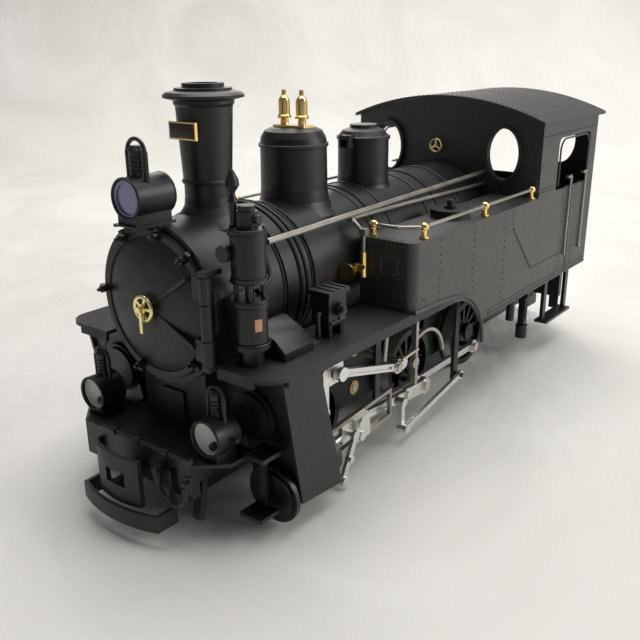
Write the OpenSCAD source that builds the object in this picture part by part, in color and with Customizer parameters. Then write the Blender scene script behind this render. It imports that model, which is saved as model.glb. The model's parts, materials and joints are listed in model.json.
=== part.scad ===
// Live steam tank locomotive with an adhesion engine below and a rack engine above.
// +X is forward (chimney end), +Y is the engine's left side, +Z is up, z = 0 is the floor.

/* [Overall] */
// length over the coupling hoops
loco_l = 352; // [300:1:420]
// width of the cab and tanks
body_w = 117; // [100:1:135]
// width over the cab roof
roof_w = 120.2; // [104:0.1:140]
// height of the cab roof at its crown
roof_z = 151.5; // [135:0.5:165]

/* [Wheels] */
// tread diameter of the coupled wheels
wheel_d = 39; // [34:0.5:42]
// flange height
flange_h = 1.1; // [0.8:0.1:1.6]
// front axle position
axle_f = 86; // [80:1:90]
// driving axle position
axle_m = 5; // [0:1:10]
// rear axle position
axle_r = -58; // [-64:1:-52]
// axle diameter
axle_d = 5; // [4:0.5:6]
// crank throw of the coupled wheels
throw = 10; // [8:0.5:11]
// crank angle of the left pins
crank_a = -25; // [-40:1:0]
// diameter of the crank pins
pin_d = 3; // [2.4:0.1:3.4]

/* [Rack engine] */
// rack shaft position
rack_x = 42; // [40:1:44]
// rack shaft height
rack_z = 39; // [38:0.5:40]
// throw of the rack cranks
rack_throw = 9; // [7:0.5:9]
// angle of the left rack crank
rack_a = 9; // [0:1:20]
// teeth of the pinion on the rack shaft
pinion_t = 15; // [13:1:18]
// teeth of the rack wheel
wheel_t = 35; // [32:1:38]
// gear module
gear_m = 0.812; // [0.7:0.001:0.9]

/* [Boiler] */
// boiler diameter
boiler_d = 59; // [54:0.5:60]
// height of the boiler axis
boiler_z = 86; // [82:0.5:90]
// smokebox diameter
smoke_d = 62; // [58:0.5:63]
// rear end of the smokebox
smoke_x0 = 92; // [88:1:96]
// front of the smokebox
smoke_x1 = 144; // [140:1:146]
// smokebox door diameter
door_d = 58.8; // [54:0.2:60]
// height of the chimney
chim_z = 165.4; // [155:0.2:175]
// chimney position
chim_x = 115.3; // [112:0.1:118]
// steam dome position
dome_x = 62.9; // [60:0.1:66]
// steam dome diameter
dome_d = 30; // [26:0.5:32]
// sand dome position
sand_x = 9.6; // [6:0.1:14]
// sand dome diameter
sand_d = 25.2; // [22:0.2:28]

/* [Body] */
// front of the side tanks
tank_x1 = 55; // [50:1:57]
// height of the tank tops
tank_z = 99.4; // [94:0.2:104]
// inner face of the tanks
tank_y = 30.6; // [30.4:0.1:33]
// top of the running boards
board_z = 68.4; // [66:0.2:70]
// lower edge of the side sheets
skirt_z = 47; // [45:0.5:50]
// front of the cab
cab_x1 = -71.8; // [-75:0.1:-68]
// rear of the cab
cab_x0 = -153; // [-156:0.5:-148]
// sheet thickness of tanks and cab
sheet = 1.5; // [1.2:0.1:2]

/* [Cylinders] */
// slope of the cylinders
slope = 4; // [0:0.5:6]
// position of the lower gudgeon pins
low_x = 76.8; // [74:0.2:79]
// position of the upper gudgeon pins
up_x = 94; // [92:0.2:96]
// height of the upper gudgeon pins
up_z = 52; // [50:0.5:53]
// bore of the cylinders
bore_d = 16.2; // [14:0.2:17]
// distance of the lower cylinder from the middle
low_y = 45.5; // [45.3:0.1:46]
// distance of the upper cylinder from the middle
up_y = 38.5; // [38:0.5:41]

/* [Fits] */
// running clearance of pins and bushes, on the radius
run = 0.06; // [0.03:0.01:0.1]
// gap between pieces that move past each other
gap = 0.3; // [0.2:0.05:0.5]

/* [Hidden] */
$fn = 48;
half_l = loco_l / 2;
half_w = body_w / 2;
wr = wheel_d / 2;
axle_z = wr + flange_h;
pr = pin_d / 2;
br = boiler_d / 2;
sr = smoke_d / 2;
dr = door_d / 2;
crown_r = (pow(roof_w / 2, 2) + pow(12.1, 2)) / (2 * 12.1);
crown_c = roof_z - crown_r;
frame_y0 = 15;
frame_y1 = 18;
gear_c = gear_m * (pinion_t + wheel_t) / 2;
rack_wz = rack_z - gear_c;
axles = [axle_f, axle_m, axle_r];
hinge_x = smoke_x1 + 5.3;
hinge_y = 30.5;

black = [0.07, 0.07, 0.07];
grey = [0.16, 0.16, 0.16];
steel = [0.78, 0.77, 0.74];
brass = [0.83, 0.66, 0.28];
red = [0.5, 0.08, 0.05];
lens = [0.55, 0.52, 0.7];

// a box between two corners
module box(x0, x1, y0, y1, z0, z1) {
  translate([x0, y0, z0]) cube([x1 - x0, y1 - y0, z1 - z0]);
}

// cylinders along each axis, from one end to the other
module xcyl(x0, x1, y, z, r) {
  translate([x0, y, z]) rotate([0, 90, 0]) cylinder(h = x1 - x0, r = r);
}
module ycyl(x, z, y0, y1, r) {
  translate([x, y0, z]) rotate([-90, 0, 0]) cylinder(h = y1 - y0, r = r);
}
module zcyl(x, y, z0, z1, r) {
  translate([x, y, z0]) cylinder(h = z1 - z0, r = r);
}

// the same piece on the left and on the right
module both() {
  children();
  mirror([0, 1, 0]) children();
}

// a flat bar in a plane of constant y, from one point to another
module bar(x0, z0, x1, z1, y0, y1, h) {
  translate([x0, y0, z0]) rotate([0, -atan2(z1 - z0, x1 - x0), 0])
    translate([0, 0, -h / 2]) cube([norm([x1 - x0, z1 - z0]), y1 - y0, h]);
}

// a thin rod between two points
module rod(a, b, r) {
  d = b - a;
  translate(a) rotate([0, acos(d[2] / norm(d)), atan2(d[1], d[0])]) cylinder(h = norm(d), r = r);
}

// moves the children into the axis of a sloping cylinder: x runs forward from the gudgeon
module sloping(x, y, z) {
  translate([x, y, z]) rotate([0, slope, 0]) children();
}

// an outline in x and z, pushed out along y
module side_plate(points, y0, y1) {
  translate([0, y1, 0]) rotate([90, 0, 0]) linear_extrude(y1 - y0) polygon(points);
}

// an upright oval in y and z, pushed out along x
module oval(x0, x1, y, z, ry, rz) {
  translate([x0, y, z]) rotate([90, 0, 90]) linear_extrude(x1 - x0)
    polygon([for (i = [0:39]) [ry * cos(9 * i), rz * sin(9 * i)]]);
}

// involute gear outline with one tooth centred on +x
function inv_pt(rb, t, s, o) = let (a = t * 57.29578)
  [rb * (cos(a) + t * sin(a)), rb * (sin(a) - t * cos(a)) ] * [[cos(o), sin(o) * s], [-sin(o), cos(o) * s]];
function flank(rb, ra, o, s) = [for (i = [0:4]) let (t = i / 4 * sqrt(pow(ra / rb, 2) - 1))
  inv_pt(rb, t, s, o)];
module gear_2d(m, t) {
  r = m * t / 2;
  rb = r * cos(20);
  ra = r + 0.8 * m;
  rf = r - 1.15 * m;
  inv20 = tan(20) * 57.29578 - 20;
  half = 90 / t * 0.88;
  o = -(half + inv20);
  tooth = concat([[rf * cos(o), rf * sin(o)]], flank(rb, ra, o, 1),
    [for (i = [4:-1:0]) let (p = flank(rb, ra, o, 1)[i]) [p[0], -p[1]]], [[rf * cos(o), -rf * sin(o)]]);
  polygon([for (k = [0:t - 1]) for (p = tooth) let (a = 360 / t * k)
    [p[0] * cos(a) - p[1] * sin(a), p[0] * sin(a) + p[1] * cos(a)]]);
}

module main_frame() color(black) {
  difference() {
    union() {
      both() box(-154, 118, frame_y0, frame_y1, 11, 44);
      both() box(118, 158, frame_y0, frame_y1, 11, 33);
      for (x = [-130, -100, -30, 66, 112]) box(x, x + 4, -frame_y0, frame_y0, 13, 40);
    }
    for (x = axles) ycyl(x, axle_z, -frame_y1 - 1, frame_y1 + 1, axle_d / 2 + 1.7);
    ycyl(rack_x, rack_z, -frame_y1 - 1, frame_y1 + 1, 3.6);
    ycyl(rack_x, rack_wz, -frame_y1 - 1, frame_y1 + 1, 3.6);
    for (x = [-125, -20, 20, 105]) ycyl(x, 34, -frame_y1 - 1, frame_y1 + 1, 5);
    both() box(150, 159, frame_y0 - 1, frame_y1 + 1, 10, 16);
  }
}

module bush(x, z, r1, r0) {
  both() difference() {
    ycyl(x, z, frame_y0, frame_y1 + 0.6, r1);
    ycyl(x, z, frame_y0 - 1, frame_y1 + 2, r0 + run);
  }
}

module axle_bushes() color(brass) {
  for (x = axles) bush(x, axle_z, axle_d / 2 + 1.7, axle_d / 2);
  bush(rack_x, rack_z, 3.6, 2);
  bush(rack_x, rack_wz, 3.6, 2);
}

module front_platform() color(black) {
  difference() {
    union() {
      box(118, 162, -28, 28, 33, 34.5);
      translate([0, 0, 33]) linear_extrude(1.5)
        polygon([[139, -42], [152, -42], [162, -31], [162, 31], [152, 42], [139, 42]]);
      box(158, 162, -31, 31, 20, 33);
      both() box(150, 158, 26, 31, 26, 33);
      both() bar(154.5, 26.5, 157.5, 9, 26.5, 30.5, 2.6);
    }
    xcyl(157, 163, 0, 24, 2.5 + run);
  }
}

module rear_beam() color(black) {
  difference() {
    union() {
      box(-158, -154, -44, 44, 20, 42);
      both() box(-155, -154, 38, 44, 12, 20);
    }
    xcyl(-159, -153, 0, 24, 2.5 + run);
  }
}

module hoop() {
  intersection() {
    difference() {
      zcyl(half_l - 62, 0, 7.2, 14, 62);
      zcyl(half_l - 62, 0, 7, 15, 60.4);
    }
    box(half_l - 10, half_l + 1, -22, 22, 7, 14);
  }
  both() box(162, half_l - 4.6, 20.4, 22, 7.2, 14);
  both() box(162, 164, 20.4, 22, 14, 30);
}

module coupling_hoops() color(grey) {
  hoop();
  difference() {
    mirror([1, 0, 0]) hoop();
    box(-163.5, -158, -30, 30, 14, 31);
  }
  both() box(-163, -158, 20.4, 22, 7.2, 30);
}

module board_side() {
  difference() {
    union() {
      intersection() {
        box(-71.8, 147, 31.6, half_w, board_z - 1.6, board_z);
        union() {
          box(-72, 138, 31, 60, 60, 70);
          box(130, 148, 31, 49.5, 60, 70);
          zcyl(138, 49.5, 60, 70, 9);
        }
      }
      box(18, 138, half_w - sheet, half_w, board_z - 4.4, board_z - 1.6);
      box(145.5, 147, 32, 49, board_z - 4.4, board_z - 1.6);
    }
    box(-73, 18, half_w - sheet, 60, 60, 70);
  }
}

// hangers of the slide bars and of the rear links, bolted under the boards
module hangers() {
  difference() {
    box(61, 65, 44.8, 46.4, 24, board_z - 1);
    sloping(low_x, 0, axle_z) box(-40, 20, 40, 50, -12, 7.2);
  }
  difference() {
    box(58, 60, 40.6, 43.8, 58, board_z - 1);
    sloping(up_x, 0, up_z) box(-60, 20, 30, 50, -12, 9.4);
  }
  box(-8.6, -4.6, 46.2, 48.2, 14, board_z - 1);
  ycyl(-6.6, 17.2, 48, 52.4, 1.2);
}

module running_boards() color(black) {
  both() board_side();
  both() hangers();
  difference() {
    both() box(105, 126, 36, 47, board_z, board_z + 5);
    both() translate([104, 36, board_z + 5]) rotate([-22, 0, 0]) box(0, 24, 0, 20, 0, 5);
  }
}

module smokebox() color(black) {
  difference() {
    union() {
      xcyl(smoke_x0, smoke_x1, 0, boiler_z, sr);
      xcyl(smoke_x1 - 2, smoke_x1 + 1, 0, boiler_z, sr + 0.8);
      box(118, 140, -18, 18, 34.5, boiler_z - 24);
      box(140, 141.2, -6, 6, 37, 49);
      for (x = [95, 104]) xcyl(x, x + 1.6, 0, boiler_z, sr + 0.7);
      }
    xcyl(smoke_x0 - 1, smoke_x1 + 4, 0, boiler_z, sr - 2.6);
    zcyl(chim_x, 0, boiler_z, boiler_z + 40, 6.5);
    box(122, 138, -15, 15, 36.5, 52);
  }
  for (z = [boiler_z - 18.8, boiler_z + 16.9]) {
    box(smoke_x1 - 1.8, smoke_x1 + 1, 24, hinge_y + 1.7, z, z + 1.9);
    box(smoke_x1 + 0.5, hinge_x + 1.6, hinge_y - 1.7, hinge_y + 1.7, z, z + 1.9);
  }
  zcyl(hinge_x, hinge_y, boiler_z - 18, boiler_z + 18, 1.1);
  zcyl(hinge_x, hinge_y, boiler_z - 6.6, boiler_z + 6.6, 2.2);
}

module smokebox_door() color(black) {
  difference() {
    union() {
      xcyl(smoke_x1 + 1.2, smoke_x1 + 2.4, 0, boiler_z, dr);
      translate([smoke_x1 + 2.4, 0, boiler_z]) rotate([0, 90, 0]) rotate_extrude()
        polygon(concat([[0, 0], [dr - 3.2, 0]], [for (i = [9:-1:0]) [(dr - 3.4) * i / 9, 3.7 - 3.6 * pow(i / 9, 2.6)]]));
      for (a = [34, -25]) translate([smoke_x1 + 2.4, 0, boiler_z]) rotate([a, 0, 0]) box(0, 3.9, 2, 26, -0.7, 0.7);
      for (s = [-1, 1]) box(smoke_x1 + 1.8, hinge_x, 24, hinge_y, boiler_z + s * 11.8 - 4.2, boiler_z + s * 11.8 + 4.2);
      for (s = [-1, 1]) zcyl(hinge_x, hinge_y, boiler_z + s * 11.8 - 4.8, boiler_z + s * 11.8 + 4.8, 2.3);
      xcyl(smoke_x1 + 5.4, smoke_x1 + 6.8, 0, boiler_z, 3.4);
    }
    zcyl(hinge_x, hinge_y, boiler_z - 20, boiler_z + 20, 1.1 + run);
    xcyl(smoke_x1, smoke_x1 + 9, 0, boiler_z, 1.2 + run);
  }
}

module door_dogs() color(black) {
  for (a = [48, 80, 120, 176, 250, 318]) translate([smoke_x1 + 2.4, 0, boiler_z]) rotate([a, 0, 0]) {
    translate([0, dr - 3.1, -1]) cube([1.6, 4.8, 2]);
    translate([1.5, dr - 1.4, 0]) rotate([0, 90, 0]) cylinder(h = 2, r = 1.5);
    translate([1.5, dr - 1.4, 0]) rotate([0, 90, 0]) cylinder(h = 3.6, r = 0.7);
  }
}

module door_handwheel() color(brass) {
  x = smoke_x1 + 8.2;
  xcyl(smoke_x1 + 2, x + 3, 0, boiler_z, 1.2);
  translate([x, 0, boiler_z]) rotate([0, 90, 0]) rotate_extrude() translate([4.6, 0]) circle(r = 0.8, $fn = 24);
  for (a = [0:72:359]) translate([x - 0.5, 0, boiler_z]) rotate([a, 0, 0]) translate([0, 0, -0.6]) cube([1, 4.4, 1.2]);
  xcyl(x - 1, x + 1, 0, boiler_z, 1.9);
  translate([x + 0.9, -0.8, boiler_z - 9.4]) cube([1, 1.6, 10]);
}

module chimney() color(black) {
  difference() {
    rotate_extrude_at(chim_x, [[0, 108], [18.5, 108], [18.5, 113], [15.4, 114.4], [11.6, 116.6], [9.8, 119.4],
      [9.3, 123], [9.3, 128], [9.9, 128.3], [9.9, 129.6], [9.5, 130], [10.9, 157], [11.6, 158], [11.6, 159.2], [15.4, 160.2],
      [15.5, 161.2], [14, 162.2], [11, 162.9], [11, 163.7], [8, 163.9], [8, chim_z], [0, chim_z]]);
    xcyl(smoke_x0, smoke_x1 + 5, 0, boiler_z, sr);
    zcyl(chim_x, 0, 100, chim_z + 1, 6);
  }
}

// a turned piece on the centre line at x, from an outline of radius and height
module rotate_extrude_at(x, points) {
  translate([x, 0, 0]) rotate_extrude() polygon(points);
}

module chimney_plate() color(brass) {
  difference() {
    union() {
      box(chim_x + 10.9, chim_x + 12, -7.1, 7.1, 145.4, 152);
      box(chim_x + 10, chim_x + 11, -3, 3, 146.4, 151);
    }
    zcyl(chim_x, 0, 140, 160, 10.86);
  }
}

module boiler() color(black) {
  difference() {
    union() {
      xcyl(cab_x1 - 4.2, smoke_x0, 0, boiler_z, br);
      for (x = [-69, -22, 34, 89]) xcyl(x, x + 2.4, 0, boiler_z, br + 0.5);
    }
    difference() {
      xcyl(cab_x1 - 2.2, smoke_x0 - 2, 0, boiler_z, br - 2);
      xcyl(cab_x1 - 6, smoke_x0 + 1, 0, boiler_z - 6, 10);
    }
    xcyl(cab_x1 - 6, smoke_x0 + 1, 0, boiler_z - 6, 9);
  }
}

module steam_dome() color(black) {
  r = dome_d / 2;
  difference() {
    rotate_extrude_at(dome_x, [[0, 100], [r + 5, 100], [r + 5, 108.4], [r + 2.2, 110.6], [r + 0.4, 114], [r - 0.2, 119],
      [r - 0.4, 136.6], [r + 0.3, 137], [r + 0.3, 138.2], [r - 0.4, 138.6], [r - 0.8, 141], [r - 2.4, 143.6], [r - 5, 144.8],
      [0, 144.9]]);
    xcyl(0, 100, 0, boiler_z, br);
    zcyl(dome_x, 0, 100, 142.5, r - 3);
  }
}

module safety_valves() color(brass) {
  box(dome_x - 3.4, dome_x + 3.4, -8.6, 8.6, 144.9, 145.9);
  both() rotate_extrude_valve();
}

module rotate_extrude_valve() {
  translate([dome_x, 4.9, 0]) rotate_extrude() polygon([[0, 145.9], [1.8, 145.9], [1.8, 148], [3, 148.6], [3, 149.6],
    [2.5, 150], [2.5, 156], [1.9, 157.2], [1, 158], [1, 160.4], [0, 160.4]]);
}

module sand_dome() color(black) {
  r = sand_d / 2;
  difference() {
    rotate_extrude_at(sand_x, [[0, 100], [r + 5, 100], [r + 5, 109], [r + 2, 110.8], [r + 0.2, 114], [r - 0.2, 118],
      [r - 0.2, 135], [0, 135]]);
    xcyl(-40, 50, 0, boiler_z, br);
    zcyl(sand_x, 0, boiler_z + br + 1.5, 136, r - 1.6);
    box(sand_x + r - 0.9, sand_x + r + 8, -3, 3, 131, 136);
  }
  difference() {
    for (s = [-1, 1]) box(sand_x + r - 0.9, sand_x + r + 3.4, s * 2.4 - 0.6, s * 2.4 + 0.6, 132, 138);
    ycyl(sand_x + r + 2, 136.6, -4, 4, 0.7);
  }
  ycyl(sand_x + r + 2, 136.6, -3, 3, 0.7);
}

module sand_dome_lid() color(black) {
  r = sand_d / 2;
  difference() {
    union() {
      translate([sand_x, 0, 0]) rotate_extrude() polygon([[0, 135.2], [r + 0.5, 135.2], [r + 0.5, 136.6], [r - 0.6, 137],
        [r - 2.4, 139.2], [r - 6, 140.6], [6.6, 141], [6.6, 142], [0, 142.2]]);
      box(sand_x + r - 1, sand_x + r + 2, -1.6, 1.6, 135.4, 137.8);
      ycyl(sand_x + r + 2, 136.6, -1.6, 1.6, 1.4);
    }
    ycyl(sand_x + r + 2, 136.6, -4, 4, 0.7 + run);
    for (s = [-1, 1]) box(sand_x + r - 1.2, sand_x + r + 4, s * 2.4 - 0.8, s * 2.4 + 0.8, 134, 139);
    translate([sand_x, 0, 134]) cylinder(h = 2.6, r = r - 3);
  }
}

// the plan of a tank: square at the cab, rounded at the front outer corner
module tank_plan(d, z0, z1) {
  c = 4.5;
  box(cab_x1 + d, tank_x1 - c, tank_y + d, half_w - d, z0, z1);
  box(cab_x1 + d, tank_x1 - d, tank_y + d, half_w - c, z0, z1);
  zcyl(tank_x1 - c, half_w - c, z0, z1, c - d);
}

module tank() {
  difference() {
    union() {
      tank_plan(0, board_z, tank_z);
      difference() {
        box(cab_x1, 18, half_w - sheet, half_w, skirt_z, board_z);
        ycyl(18, 33, half_w - 5, half_w + 5, board_z - 4.4 - 33);
      }
    }
    tank_plan(sheet, board_z + sheet, tank_z - sheet);
    zcyl(-4.1, 42, tank_z - 4, tank_z + 1, 8.4);
  }
  difference() {
    zcyl(-4.1, 42, tank_z, tank_z + 1.6, 9.5);
    zcyl(-4.1, 42, tank_z - 1, tank_z + 3, 8.4);
  }
  difference() {
    box(-17, -14.8, 40.6, 43.4, tank_z, tank_z + 3.4);
    ycyl(-15.9, tank_z + 2.4, 40, 44, 0.6);
  }
  ycyl(-15.9, tank_z + 2.4, 39.2, 44.8, 0.6);
}

module left_tank() color(black) {
  tank();
}

module right_tank() color(black) {
  mirror([0, 1, 0]) tank();
}

module filler_lid() {
  difference() {
    union() {
      zcyl(-4.1, 42, tank_z + 1.8, tank_z + 4, 9.9);
      zcyl(-4.1, 42, tank_z + 4, tank_z + 5.4, 3);
      zcyl(-4.1, 42, tank_z + 5, tank_z + 8, 1.7);
      for (s = [-1, 1]) box(-15.9, -10, 42 + s * 2.3 - 0.5, 42 + s * 2.3 + 0.5, tank_z + 1.8, tank_z + 3.4);
      for (s = [-1, 1]) ycyl(-15.9, tank_z + 2.4, 42 + s * 2.3 - 0.5, 42 + s * 2.3 + 0.5, 1.3);
    }
    ycyl(-15.9, tank_z + 2.4, 30, 50, 0.6 + run);
    box(-18, -14.4, 40.3, 43.7, tank_z, tank_z + 6);
  }
}

module left_filler_lid() color(black) {
  filler_lid();
}

module right_filler_lid() color(black) {
  mirror([0, 1, 0]) filler_lid();
}

module cab_body() color(black) {
  difference() {
    intersection() {
      box(cab_x0, cab_x1, -half_w, half_w, skirt_z, roof_z);
      xcyl(cab_x0 - 1, cab_x1 + 1, 0, crown_c, crown_r - 1.5 - gap / 2, $fn = 160);
    }
    box(cab_x0 + sheet, cab_x1 - sheet, sheet - half_w, half_w - sheet, skirt_z + 2, roof_z + 5);
    xcyl(cab_x1 - 5, cab_x1 + 1, 0, boiler_z, br);
    for (s = [-1, 1]) oval(cab_x1 - 3, cab_x1 + 1, s * 37, 121.6, 9.2, 13.6);
    for (s = [-1, 1]) oval(cab_x0 - 1, cab_x0 + 3, s * 37, 121.6, 9.2, 13.6);
    box(-139, -99, -70, 70, 100, 129);
    box(-143, -95, -70, 70, 100, 125);
    ycyl(-139, 125, -70, 70, 4);
    ycyl(-99, 125, -70, 70, 4);
    box(cab_x0 - 1, cab_x0 + 3, -24, 24, 99, 132);
  }
  for (s = [-1, 1]) difference() {
    oval(cab_x1, cab_x1 + 2.6, s * 37, 121.6, 10.6, 15);
    oval(cab_x1 - 1, cab_x1 + 4, s * 37, 121.6, 9.2, 13.6);
  }
  difference() {
    xcyl(cab_x1, cab_x1 + 1.6, -3.8, 123.7, 2);
    xcyl(cab_x1 - 1, cab_x1 + 2, -3.8, 123.7, 0.8 + run);
  }
}

module cab_handwheel() color(brass) {
  x = cab_x1 + 3.4;
  difference() {
    xcyl(cab_x1 + 0.1, x + 1, -3.8, 123.7, 0.8);
    xcyl(cab_x1 - 1, cab_x1 + 0.1, -3.8, 123.7, 0.9);
  }
  translate([x, -3.8, 123.7]) rotate([0, 90, 0]) rotate_extrude() translate([3.6, 0]) circle(r = 0.55, $fn = 20);
  for (a = [90, 210, 330]) translate([x - 0.35, -3.8, 123.7]) rotate([a, 0, 0]) translate([0, 0, -0.45]) cube([0.7, 3.5, 0.9]);
}

module cab_roof() color(black) {
  intersection() {
    difference() {
      xcyl(-159.9, -68.5, 0, crown_c, crown_r, $fn = 160);
      xcyl(-161, -67, 0, crown_c, crown_r - 1.5, $fn = 160);
    }
    box(-160, -68, -roof_w / 2, roof_w / 2, 130, 160);
  }
}

module backhead() color(black) {
  difference() {
    xcyl(cab_x1 - 7.2, cab_x1 - 4.2, 0, boiler_z, br - 2.5);
    xcyl(cab_x1 - 9, cab_x1 - 3, 0, boiler_z - 6, 7);
    xcyl(cab_x1 - 9, cab_x1 - 3, 0, boiler_z + 12, 1 + run);
  }
  both() xcyl(cab_x1 - 12, cab_x1 - 7.2, 12, boiler_z + 15, 3.4);
}

module regulator_lever() color(red) {
  xcyl(cab_x1 - 13, cab_x1 - 5, 0, boiler_z + 12, 1);
  translate([cab_x1 - 12, -1, boiler_z + 12]) cube([1.6, 2, 15]);
}

module burner() color(brass) {
  difference() {
    xcyl(cab_x1 - 14, 40, 0, boiler_z - 6, 5);
    xcyl(cab_x1 - 12, 38, 0, boiler_z - 6, 4);
    for (x = [-40:8:30]) box(x, x + 4, -1, 1, boiler_z - 3, boiler_z + 2);
  }
  for (x = [-60, 34]) difference() {
    xcyl(x, x + 2, 0, boiler_z - 6, 9);
    xcyl(x - 1, x + 3, 0, boiler_z - 6, 5);
    for (s = [-1, 1]) box(x - 1, x + 3, -10, 10, boiler_z - 6 + s * 7 - 3, boiler_z - 6 + s * 7 + 3);
  }
}

module air_pump() color(black) {
  px = 136;
  py = 39.4;
  zcyl(px, py, board_z, 75, 4.6);
  zcyl(px, py, 75, 77, 6.9);
  zcyl(px, py, 77, 91, 6.2);
  zcyl(px, py, 91, 93.4, 6.8);
  for (a = [45:90:359]) zcyl(px + 4.8 * cos(a), py + 4.8 * sin(a), 93.4, 100, 0.9);
  zcyl(px, py, 93.4, 100, 1.6);
  zcyl(px, py, 100, 101.8, 6.8);
  zcyl(px, py, 101.8, 117, 6.3);
  zcyl(px, py, 117, 119, 6.8);
  zcyl(px, py, 119, 125, 3.8);
  zcyl(px, py, 125, 127, 3);
  ycyl(px, 122.5, py - 6.4, py + 6, 1.5);
  zcyl(px + 2, py - 4.4, 119, 129, 1.3);
  translate([px + 2, py - 4.4, 0]) rotate_extrude() polygon([[0, 128], [1.8, 128], [0.9, 131], [2.6, 133.6],
    [2.3, 135.6], [0.9, 138.4], [0, 139.6]]);
  xcyl(px + 4, px + 8.4, py - 4.6, 110.5, 3);
}

module boiler_pipes() color(steel) {
  rod([127.2, 40.6, 112.4], [cab_x1, 25.4, 110.9], 1.2);
  zcyl(57, 33.7, 93.2, 102, 1);
  rod([57, 33.7, 101.6], [57, 27, 107], 0.95);
  rod([58, 27.02, 107.02], [cab_x1, 25.8, 104.6], 1);
  box(55.5, 58.5, 25.5, 28.5, 105.5, 108.5);
  box(55.4, 58.6, 32.1, 35.3, 100.4, 103.4);
}

module feed_valve() color(brass) {
  zcyl(57, 33.7, 82, 93.2, 1.8);
  xcyl(55, 57, 33.7, 86.6, 1.2);
  xcyl(57, 68, 33.7, 86.6, 1.5);
  xcyl(62, 65, 33.7, 86.6, 2.8);
  xcyl(68, 69.4, 33.7, 86.6, 3.6);
}

module rail_side() {
  z = tank_z + 5;
  rod([cab_x1, 55.6, z], [44, 55.6, z], 0.8);
  translate([44, 55.6, z]) sphere(r = 1, $fn = 24);
  rod([44, 55.6, z], [50.5, 47, z], 0.8);
  translate([50.5, 47, z]) sphere(r = 1, $fn = 24);
  rod([50.5, 47, z], [51, 33, z], 0.8);
  for (x = [-115, -138.6]) {
    zcyl(x, half_w + 0.8, 60, 106, 0.6);
    zcyl(x, half_w + 0.8, 105.2, 106.8, 0.75);
    xcyl(x, x + 4.6, half_w + 0.8, 106, 0.6);
    ycyl(x + 4.6, 106, half_w - 0.3, half_w + 1.5, 0.7);
    ycyl(x, 60, half_w, half_w + 1.5, 0.7);
  }
}

module handrails() color(steel) {
  difference() {
    both() rail_side();
    both() for (p = ball_spots) translate([p[0], p[1], tank_z + 5]) sphere(r = 2);
  }
}

ball_spots = [[51, 35], [43, 55.6], [-14, 55.6], [-68.5, 55.6]];

module handrail_balls() color(brass) {
  both() for (p = ball_spots) {
    translate([p[0], p[1], tank_z + 5]) sphere(r = 2);
    zcyl(p[0], p[1], tank_z, tank_z + 4, 1.1);
    zcyl(p[0], p[1], tank_z, tank_z + 1, 2.1);
  }
}

module lubricator() color(black) {
  box(89, 100.4, 39, 47.6, 73.4, 86);
  box(88, 101.4, 38, 48.6, 86, 87.8);
  for (x = [90, 97.4]) box(x, x + 2, 40, 47, board_z, 73.4);
  ycyl(94.6, 80, 47.6, 51, 1.6);
  bar(94.6, 80, 99, 78, 50.8, 52, 1.6);
}

module lamp(y, z, r, back) {
  difference() {
    xcyl(back, 156, y, z, r);
    xcyl(151, 157, y, z, r - 1);
  }
  difference() {
    zcyl(149.4, y, z, z + r + 8.8, r > 7.5 ? 2.7 : 2.1);
    xcyl(back - 1, 157, y, z, r - 0.5);
  }
  translate([149.4, y, z + r + 8.8]) cylinder(h = 1.6, r1 = r > 7.5 ? 3.1 : 2.6, r2 = 1.9);
  b = r > 7.5 ? 4.7 : 4;
  t = r > 7.5 ? 8 : 7.2;
  mirror([0, 0, 1]) half_ring(149.4, y, -z - r - t, b, 0.75);
  difference() {
    for (s = [-1, 1]) zcyl(149.4, y + s * b, z + 3, z + r + t + 0.4, 0.95);
    xcyl(back - 1, 157, y, z, r - 0.5);
  }
}

module headlamps() color(black) {
  lamp(0, 127.7, 7.6, 138.6);
  both() lamp(33, 43.2, 7.4, 144.4);
  difference() {
    union() {
      box(139.4, 144.8, -5, 5, 116, 122.6);
      box(144, 156, -5, 5, 117.4, 122.6);
      box(138.6, 157.4, -6.2, 6.2, 117.2, 118.4);
    }
    xcyl(130, 160, 0, boiler_z, sr + 0.8);
    xcyl(130, 160, 0, 127.7, 7.58);
  }
  both() difference() {
    box(145, 155, 28.4, 37.6, 34.5, 38);
    xcyl(130, 160, 33, 43.2, 7.38);
  }
}

module lamp_lenses() color(lens) {
  xcyl(153.6, 154.8, 0, 127.7, 6.6);
  both() xcyl(151, 152, 33, 43.2, 6.4);
}

// the sloping block of two cylinders on one side, without its bores
module cylinder_block() {
  union() {
    side_plate([[138, board_z - 1.7], [118.5, board_z - 1.7], [104.8, 11.5], [128.5, 14]], 31, 55.5);
    side_plate([[139.4, board_z - 1.7], [118.5, board_z - 1.7], [104.2, 9.5], [129.6, 12]], 55.5, half_w - sheet - 0.1);
    sloping(low_x, low_y, axle_z) xcyl(25.4, 55.5, 0, 0, bore_d / 2 + 1.9);
    sloping(up_x, up_y, up_z) xcyl(16.4, 41.3, 0, 0, bore_d / 2 + 1.9);
  }
}

module cylinders() color(black) {
  both() difference() {
    cylinder_block();
    sloping(low_x, low_y, axle_z) xcyl(28, 56, 0, 0, bore_d / 2);
    sloping(low_x, low_y, axle_z) xcyl(20, 30, 0, 0, 1.4 + run);
    sloping(up_x, up_y, up_z) xcyl(18.9, 42, 0, 0, bore_d / 2);
    sloping(up_x, up_y, up_z) xcyl(14, 20, 0, 0, 1.3 + run);
    sloping(low_x, low_y, axle_z) xcyl(55.5, 70, 0, 0, 12);
    sloping(up_x, up_y, up_z) xcyl(41.3, 60, 0, 0, 12);
  }
}

module cylinder_covers() color(black) {
  both() {
    sloping(low_x, low_y, axle_z) {
      xcyl(55.5, 57.4, 0, -2.4, 12.2);
      xcyl(57.4, 58.6, 0, -2.4, 10.4);
    }
    sloping(up_x, up_y, up_z) {
      xcyl(41.3, 43, 0, -1.6, 10.8);
      xcyl(43, 44.2, 0, -1.6, 9.2);
    }
  }
}

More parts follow.
